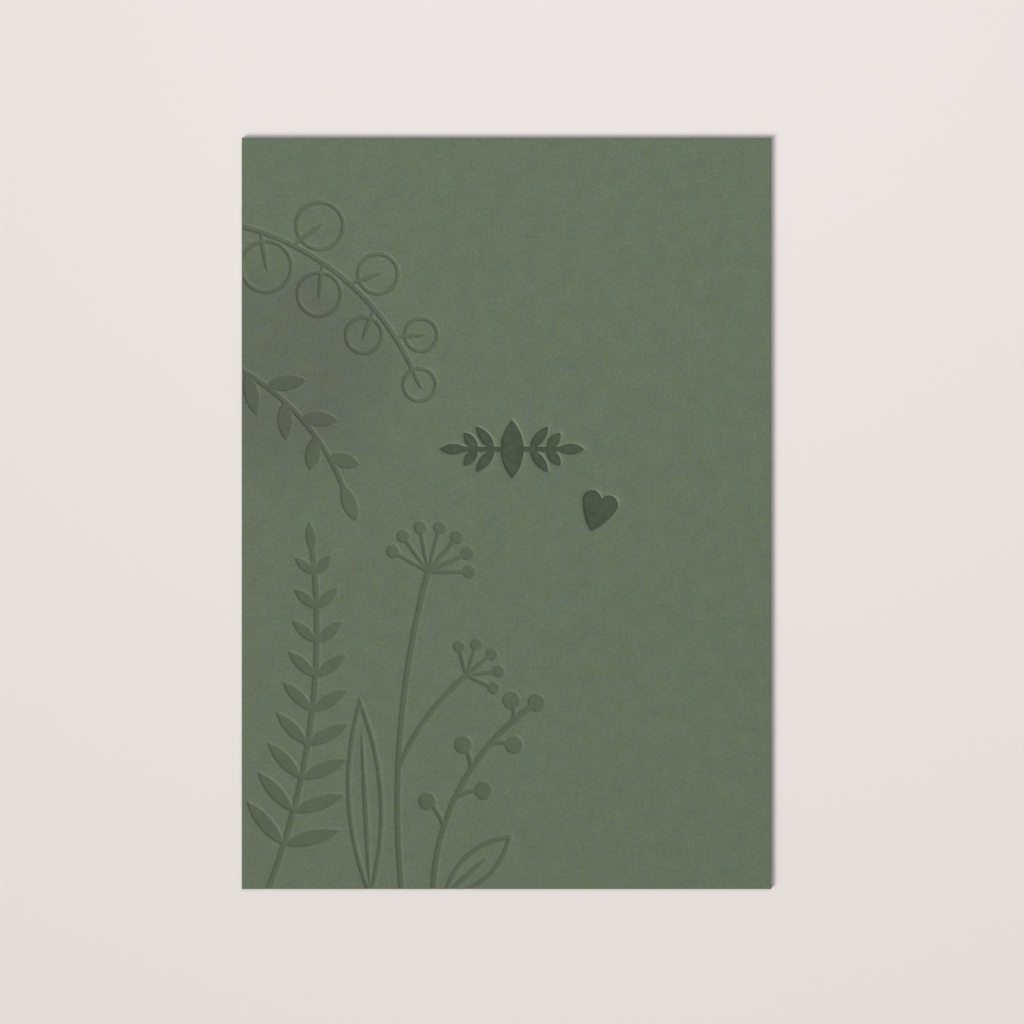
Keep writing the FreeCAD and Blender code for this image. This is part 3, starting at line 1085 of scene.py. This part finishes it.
    @staticmethod
    def _ring(bench: Bench, sheet: Outlet, rim: Outlet, given: SimpleNamespace, inset: Input,
              height: Input) -> tuple[Outlet, Outlet]:
        """Carry the sheet's rim on to another ring of points.

        Args:
            bench: the tree.
            sheet: the sheet so far.
            rim: its open edges.
            given: the tree's inputs.
            inset: distance of the new ring from the cut edge.
            height: height of its points.

        Returns:
            The sheet, and its new rim.
        """
        grown = bench.add("GeometryNodeExtrudeMesh", {"mode": "EDGES"},
                          {"Mesh": sheet, "Selection": rim, "Offset Scale": 0.0}, "Mesh")
        new_rim = bench.beside(grown, "Top")
        sides = {"Z": height}
        for axis, half in (("X", given.half_width), ("Y", given.half_height)):
            place = bench.along(axis, bench.add("GeometryNodeInputPosition"))
            level = half - given.arris - given.margin - given.merged
            sides[axis] = bench.between(abs(place) > level, place, place.sign() * (half - inset))
        position = bench.add("ShaderNodeCombineXYZ", inputs=sides)
        moved = bench.add("GeometryNodeSetPosition",
                          inputs={"Geometry": grown, "Selection": new_rim, "Position": position})
        return moved, new_rim


# ---- Studio ----


@dataclass(frozen=True)
class Lamp:
    """Soft lamp that points at the middle of the scene: a square one near by, or one as far as the sun."""

    name: str
    azimuth: float                 # degrees round from +X towards +Y
    elevation: float               # degrees above the floor
    light: float                   # share of a white floor's full brightness that it gives
    width: float                   # degrees across, seen from the middle
    colour: Colour = WHITE
    distance: float | None = None  # metres, if it is near by

    def hang(self) -> None:
        """Make the lamp."""
        azimuth, elevation = math.radians(self.azimuth), math.radians(self.elevation)
        way = Vector((math.cos(azimuth) * math.cos(elevation), math.sin(azimuth) * math.cos(elevation),
                      math.sin(elevation)))
        data = bpy.data.lights.new(self.name, "AREA" if self.distance else "SUN")
        data.energy = self.light * math.pi / way.z
        if self.distance:
            data.energy *= math.pi * self.distance**2
            data.size = 2 * self.distance * math.tan(math.radians(self.width / 2))
        else:
            data.angle = math.radians(self.width)
        data.color = self.colour
        lamp = placed(self.name, data)
        lamp.location = way * (self.distance or 1.0)
        lamp.rotation_euler = way.to_track_quat("Z", "Y").to_euler()
        lamp.visible_camera = False


@dataclass(frozen=True)
class Studio:
    """Plain pale floor, a low lamp from the left, a high one from the far side, and an even sky."""

    floor_colour: Colour = (0.88, 0.82, 0.77)
    floor_half: float = 2.0     # metres
    floor_gap: float = 0.00002  # metres under the card, so that the two never share a plane
    floor_roughness: float = 0.85
    sky: float = 0.335
    lamps: tuple[Lamp, ...] = (
        Lamp("window", 220.0, 29.5, 0.5, 27.0),
        Lamp("ceiling", 84.0, 65.0, 0.19, 36.0, (0.93, 1.0, 1.16), 0.37),
    )

    def build(self) -> None:
        """Make the floor, the lamps and the sky."""
        half, low = self.floor_half, -self.floor_gap
        mesh = bpy.data.meshes.new("floor")
        mesh.from_pydata([(-half, -half, low), (half, -half, low), (half, half, low), (-half, half, low)],
                         [], [(0, 1, 2, 3)])
        material = bpy.data.materials.new("floor")
        bench = Bench.cleared(material)
        inputs = {"Base Color": opaque(self.floor_colour), "Roughness": self.floor_roughness}
        bench.add("ShaderNodeOutputMaterial",
                  inputs={"Surface": bench.add("ShaderNodeBsdfPrincipled", inputs=inputs)})
        mesh.materials.append(material)
        placed("floor", mesh)
        for lamp in self.lamps:
            lamp.hang()
        world = bpy.data.worlds.new("sky")
        bench = Bench.cleared(world)
        sky = bench.add("ShaderNodeBackground", inputs={"Strength": self.sky})
        bench.add("ShaderNodeOutputWorld", inputs={"Surface": sky})
        bpy.context.scene.world = world
        bpy.context.scene.view_settings.view_transform = "Standard"


@dataclass(frozen=True)
class View:
    """Camera that looks straight down on the card. In metres."""

    above: float = 0.4801   # above the floor
    right: float = 0.00109  # from the middle of the card
    up: float = 0.00028
    lens: float = 85.0      # mm
    sensor: float = 36.0    # mm
    nearest: float = 0.01
    farthest: float = 10.0

    def build(self) -> None:
        """Make the camera."""
        data = bpy.data.cameras.new("camera")
        data.lens, data.sensor_width = self.lens, self.sensor
        data.clip_start, data.clip_end = self.nearest, self.farthest
        camera = placed("camera", data)
        camera.location = (self.right, self.up, self.above)
        bpy.context.scene.camera = camera


# ---- Scene ----


def describe(piece: bpy.types.Object) -> None:
    """Log a piece's triangles, size, volume and open edges.

    Args:
        piece: the piece.
    """
    work = bmesh.new()
    work.from_mesh(piece.data)
    open_edges = sum(not edge.is_manifold for edge in work.edges)
    volume = work.calc_volume(signed=True) / MM**3
    work.free()
    triangles = sum(len(face.vertices) - 2 for face in piece.data.polygons)
    size = " x ".join(f"{length / MM:.3f}" for length in piece.dimensions)
    log.info("%s: %d triangles, %s mm, %.1f mm3, %d open edges", piece.name, triangles, size, volume,
             open_edges)


def main() -> None:
    """Build the card, its studio and the camera."""
    logging.basicConfig(level=logging.INFO, format="%(name)s: %(message)s")
    card = PressedCard(bpy.data.objects[CARD_NODE]).build()
    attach(card, BODY)
    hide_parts(CARD_NODE)
    describe(card)
    Studio().build()
    View().build()


if __name__ == "__main__":
    main()
